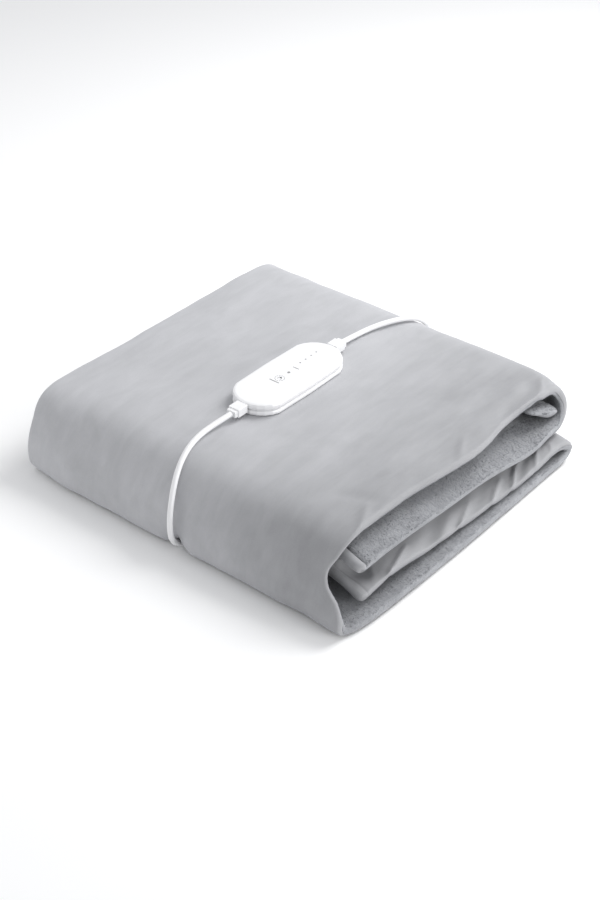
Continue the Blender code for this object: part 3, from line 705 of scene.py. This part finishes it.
def make_face_cloth(finish):
    fine, run = fold_run()
    length = run[-1]
    along, row_angle = edged(length, HEM_WRAP, HEM_REACH, ROW_STEP, HEM_STEP, HEM_NEAR)
    along, row_angle = finer_rows(along, row_angle, run, fine)
    across, column_angle = edged(STACK_LENGTH, math.pi / 2, EDGE_REACH, COLUMN_STEP, EDGE_STEP, EDGE_NEAR)
    places = np.interp(along, run, fine)
    points, out, to_far, to_end, shift_across, shift_along = shaped(places, across, along, length)
    # where a hem turns under, the cut end's roll stops at its edge, so that the bead closes
    under = smooth_step(row_angle / (math.pi / 2))[:, None]
    limit = wrap_limit(places)
    limit = limit + (math.pi / 2 - limit) * under
    turned = column_angle[None, :] * limit / (math.pi / 2)
    shift_across = shift_across + drawn_in(column_angle, turned, across)
    points = points + to_far * shift_across[:, :, None] + to_end * shift_along[:, :, None]
    bead = SHEET_HALF + (HEM_REACH - SHEET_HALF) * (row_angle > 0)[:, None]
    height = bead * np.cos(row_angle)[:, None] * np.cos(turned)
    from_hem = np.minimum(along, length - along)
    seam = SEAM_DEEP * np.exp(-(((from_hem - SEAM_BACK) / SEAM_WIDE) ** 2)) * (row_angle == 0)
    height = height - seam[:, None] * np.cos(np.minimum(turned, math.pi / 2))
    points = points + out * (height * thinned(places, across))[:, :, None]
    points[:, :, 2] = np.maximum(points[:, :, 2], FACE_LOWEST)
    mesh = grid_mesh("face_cloth", points, across, along)
    return thicken(add("face_cloth", mesh, finish, "face_velvet", "face_panel"), -1.0)


def plush_grid():
    """The plush side's surface: points, outward directions, and its distances across and along."""
    fine, run = fold_run()
    length = run[-1]
    tucked = HEM_REACH * (1.0 - math.sin(HEM_WRAP)) - HEM_TUCK
    near = np.arange(tucked, HEM_NEAR, HEM_STEP)
    middle = np.linspace(HEM_NEAR, length - HEM_NEAR, round((length - 2 * HEM_NEAR) / ROW_STEP) + 1)
    along = np.concatenate([near, middle, length - near[::-1]])
    across, column_angle = edged(STACK_LENGTH, math.pi / 2, EDGE_REACH, COLUMN_STEP, EDGE_STEP, EDGE_NEAR)
    places = np.interp(along, run, fine)
    points, out, to_far, to_end, shift_across, shift_along = shaped(places, across, along, length)
    turned = column_angle[None, :] * (math.pi - LAP_GAP - wrap_limit(places)) / (math.pi / 2)
    shift_across = shift_across + drawn_in(column_angle, turned, across)
    points = points + to_far * shift_across[:, :, None] + to_end * shift_along[:, :, None]
    from_hem = np.minimum(along - tucked, length - tucked - along)
    height = SHEET_HALF - PILE_DIP * (1.0 - smooth_step(from_hem / PILE_DIP_LONG))
    points = points - out * (height[:, None] * np.cos(turned) * thinned(places, across))[:, :, None]
    points[:, :, 2] = np.maximum(points[:, :, 2], PLUSH_LOWEST)
    return points, out, across, along


def make_plush_cloth(grid, finish):
    points, _, across, along = grid
    mesh = grid_mesh("plush_cloth", points, across, along)
    return thicken(add("plush_cloth", mesh, finish, "plush_pile", "plush_panel"), 1.0)


def roots_on_grid(grid, chosen):
    """Places on the plush side near both cut ends, and the directions away from it there."""
    points, out, across, _ = grid
    inner = np.minimum(across, STACK_LENGTH - across)
    columns = np.nonzero((inner > ROLL_CLEAR) & (inner < PILE_REACH))[0][:-1]
    columns = columns[np.diff(across)[columns] > ROLL_CLEAR]
    row = chosen.integers(0, len(points) - 1, PILE_TUFTS)
    column = chosen.choice(columns, PILE_TUFTS)
    u, v = chosen.random((2, PILE_TUFTS, 1))
    near = points[row, column] * (1 - v) + points[row, column + 1] * v
    far = points[row + 1, column] * (1 - v) + points[row + 1, column + 1] * v
    return near * (1 - u) + far * u, -out[row, column]


def roots_on_tuck(tuck, chosen):
    """The same on the fold of plush inside the upper fold."""
    faces = [face for face in tuck.data.polygons if face.center.x > TUCK_PILE_FROM * MM]
    weights = np.array([face.area for face in faces])
    picked = [faces[n] for n in chosen.choice(len(faces), TUCK_TUFTS, p=weights / weights.sum())]
    places = []
    for face in picked:
        corners = np.array([tuck.data.vertices[n].co for n in face.vertices])
        shares = chosen.dirichlet(np.ones(len(corners)))
        places.append(shares @ corners / MM)
    return np.array(places), np.array([face.normal for face in picked])


def make_pile(grid, tuck, finish):
    """Tufts of the pile where it shows: thin three-sided spikes that lean."""
    chosen = np.random.default_rng(7)
    on_grid, on_tuck = roots_on_grid(grid, chosen), roots_on_tuck(tuck, chosen)
    base, up = (np.concatenate(pair) for pair in zip(on_grid, on_tuck))
    count = len(base)
    x, y = base[:, 0], base[:, 1]
    lean = np.stack([0.6 + 0.5 * np.sin(y / 17), np.cos(x / 11), 0.3 * np.sin(y / 9)], axis=1)
    lean += chosen.normal(0, LEAN_SPREAD, (count, 3))
    lean -= up * (lean * up).sum(axis=1)[:, None]
    lean /= np.linalg.norm(lean, axis=1)[:, None]
    side = np.cross(up, lean)
    wide = chosen.uniform(*TUFT_WIDE, (count, 1))
    root = base - up * TUFT_ROOT
    tip = base + up * chosen.uniform(*TUFT_RISE, (count, 1)) + lean * chosen.uniform(*TUFT_LONG, (count, 1))
    corners = np.stack([root + side * wide, root - side * wide, root + up * (2 * wide), tip], axis=1)
    corners[:, :, 2] = np.maximum(corners[:, :, 2], TUFT_LOWEST)
    first = np.arange(count)[:, None] * 4
    faces = np.concatenate([first + corner for corner in ((0, 3, 2), (2, 3, 1), (1, 3, 0), (0, 2, 1))])
    mesh = bpy.data.meshes.new("plush_tufts")
    mesh.from_pydata((corners.reshape(-1, 3) * MM).tolist(), [], faces.tolist())
    return add("plush_tufts", mesh, finish, "plush_pile")


def make_tuck(finish):
    """A fold of the plush that stands out inside the upper fold at the open end."""
    sections = []
    turns = np.linspace(0, math.tau, TUCK_AROUND, endpoint=False)
    for x, share in TUCK_SECTIONS:
        along = np.cos(turns)
        half = TUCK_HALF * np.sin(turns) * (1.0 - TUCK_THIN + TUCK_THIN * along) * share
        reach = along * (1.0 - TUCK_SHORT + TUCK_SHORT * share)
        aside = half + TUCK_WAVER * np.sin(turns * 3 + x / 9)
        y = TUCK_Y + reach * TUCK_ALONG[0] - aside * TUCK_ALONG[1] / TUCK_LONG
        z = TUCK_UP + reach * TUCK_ALONG[1] + aside * TUCK_ALONG[0] / TUCK_LONG
        sections.append(np.stack([np.full_like(y, x), y, z], axis=1))
    sections = np.array(sections)
    count, around = sections.shape[:2]
    index = np.arange(count * around).reshape(count, around)
    quads = []
    for n in range(count - 1):
        for k in range(around):
            after = (k + 1) % around
            quads.append((index[n, k], index[n, after], index[n + 1, after], index[n + 1, k]))
    ends = [tuple(index[0][::-1]), tuple(index[-1])]
    mesh = bpy.data.meshes.new("plush_tuck")
    mesh.from_pydata((sections.reshape(-1, 3) * MM).tolist(), [], [*quads, *ends])
    mesh.shade_smooth()
    return add("plush_tuck", mesh, finish, "plush_pile")


# ---- the marks printed on the controller ----


def make_marks(finish):
    """A bar, a dashed ring round an open arc with a stem, a square, a bar and four dots, as raised ink."""
    ink = bmesh.new()

    def patch(outline):
        low = [ink.verts.new((x * MM, y * MM, (MARK_BASE - MARK_SUNK) * MM)) for x, y in outline]
        high = [ink.verts.new((x * MM, y * MM, (MARK_BASE + MARK_HIGH) * MM)) for x, y in outline]
        ink.faces.new(high)
        ink.faces.new(low[::-1])
        for n in range(len(low)):
            after = (n + 1) % len(low)
            ink.faces.new((low[n], low[after], high[after], high[n]))

    def bar(x, y, wide, deep):
        corner = deep * MARK_ROUND
        aside, ahead = wide / 2 - corner, deep / 2 - corner
        outline = []
        for quarter, (side_x, side_y) in enumerate(((1, 1), (-1, 1), (-1, -1), (1, -1))):
            for turn in (0, 30, 60, 90):
                angle = math.radians(quarter * 90 + turn)
                across, along = corner * math.cos(angle), corner * math.sin(angle)
                outline.append((x + side_x * aside + across, y + side_y * ahead + along))
        patch(outline)

    def arc(x, y, radius, thick, start, end):
        angles = [math.radians(start + (end - start) * n / ARC_STEPS) for n in range(ARC_STEPS + 1)]
        inner, outer = (
            [(x + rim * math.cos(angle), y + rim * math.sin(angle)) for angle in angles]
            for rim in (radius - thick / 2, radius + thick / 2)
        )
        for n in range(ARC_STEPS):
            patch([inner[n], outer[n], outer[n + 1], inner[n + 1]])

    for x, y, wide, deep in MARK_BARS:
        bar(x, y, wide, deep)
    for n in range(RING_DASHES):
        start = n * 360 / RING_DASHES
        arc(*RING_AT, RING_RADIUS, RING_THICK, start, start + RING_INK / RING_DASHES)
    arc(*RING_AT, POWER_RADIUS, POWER_THICK, *POWER_ENDS)
    bar(RING_AT[0], RING_AT[1] + POWER_STEM_AT, POWER_THICK, POWER_STEM)
    mesh = bpy.data.meshes.new("controller_marks")
    ink.to_mesh(mesh)
    ink.free()
    return add("controller_marks", mesh, finish, "white_shell")


# ---- plug ----


def make_relief(finish):
    """The plug's ribbed strain relief: rings that widen towards the body, joined by a thinner sleeve."""
    stations = [(0.0, RELIEF_ENDS[0])]
    for n in range(RELIEF_RIBS):
        share = (n + 0.5) / RELIEF_RIBS
        start, outer = share * RELIEF_LONG - RIB_BEFORE, RIB_RADIUS + RIB_WIDENS * share
        stations += [(start + on, outer + beyond) for on, beyond in RIB]
    stations.append((RELIEF_LONG - RELIEF_GAP, RELIEF_ENDS[1]))
    points, faces = [], []
    for x, radius in stations:
        for k in range(RELIEF_AROUND):
            angle = math.tau * k / RELIEF_AROUND
            place = (RELIEF_FROM + x, PLUG_Y + radius * math.cos(angle), PLUG_UP + radius * math.sin(angle))
            points.append([value * MM for value in place])
    index = np.arange(len(points)).reshape(len(stations), RELIEF_AROUND).tolist()
    for ring, following in zip(index, index[1:]):
        for k in range(RELIEF_AROUND):
            after = (k + 1) % RELIEF_AROUND
            faces.append((ring[k], ring[after], following[after], following[k]))
    faces += [index[0][::-1], index[-1]]
    mesh = bpy.data.meshes.new("plug_sleeve")
    mesh.from_pydata(points, [], faces)
    mesh.shade_smooth()
    mesh.set_sharp_from_angle(angle=math.radians(40))
    return add("plug_sleeve", mesh, finish, "white_rubber", "plug_relief")


# ---- light and floor ----


def make_stage():
    floor_mesh = bpy.data.meshes.new("floor")
    half = 6.0
    corners = [(-half, -half, 0), (half, -half, 0), (half, half, 0), (-half, half, 0)]
    floor_mesh.from_pydata(corners, [], [(0, 1, 2, 3)])
    floor = bpy.data.objects.new("floor", floor_mesh)
    bpy.context.scene.collection.objects.link(floor)
    pale = Shader("pale_floor", Roughness=0.9, Specular_IOR_Level=0.1)
    floor_mesh.materials.append(pale.finish((0.97, 0.97, 0.965, 1.0)))

    world = bpy.data.worlds.new("studio")
    bpy.context.scene.world = world
    world.use_nodes = True
    sky = world.node_tree.nodes["Background"]
    sky.inputs["Color"].default_value = (0.96, 0.97, 1.0, 1.0)
    sky.inputs["Strength"].default_value = 0.60
    lamp("key", place=(0.30, 0.95, 1.15), size=0.8, power=17.5)
    lamp("end_fill", place=(2.0, 0.2, 0.52), size=0.8, power=17.0)
    lamp("front_fill", place=(-1.2, -0.9, 0.6), size=0.6, power=4.0)


def lamp(name, place, size, power):
    data = bpy.data.lights.new(name, "AREA")
    data.shape = "SQUARE"
    data.size = size
    data.energy = power
    light = bpy.data.objects.new(name, data)
    bpy.context.scene.collection.objects.link(light)
    light.location = place
    light.rotation_euler = (-Vector(place)).to_track_quat("-Z", "Y").to_euler()


# ---- everything together ----

make_camera()
bpy.context.scene.view_settings.view_transform = "Standard"

white_shell = plastic("white_shell", (0.86, 0.86, 0.865), 0.32, coat=0.2)
white_rubber = plastic("white_rubber", (0.83, 0.83, 0.835), 0.5, 1400.0)
white_lead = plastic("white_lead", (0.85, 0.85, 0.855), 0.42, 1800.0, 0.00003)
nickel = pin_metal()
lead = make_lead(white_lead)
face_cloth = make_face_cloth(velvet())
pile = plush()
grid = plush_grid()
plush_cloth = make_plush_cloth(grid, pile)
tuck = make_tuck(pile)
tufts = make_pile(grid, tuck, pile)
marks = make_marks(print_grey())
sleeve = make_relief(white_rubber)
for node_name, finish in (
    ("lead_gland", white_rubber), ("collar_front", white_rubber), ("controller_base", white_shell),
    ("controller_top", white_shell), ("collar_back", white_rubber), ("plug_body", white_rubber),
    ("plug_pin_near", nickel), ("plug_pin_far", nickel),
):
    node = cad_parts[node_name]
    node.data.materials.clear()
    node.data.materials.append(finish)
FLAT = (STACK_LENGTH * MM, float(fold_run()[1][-1]) * MM)
make_stage()
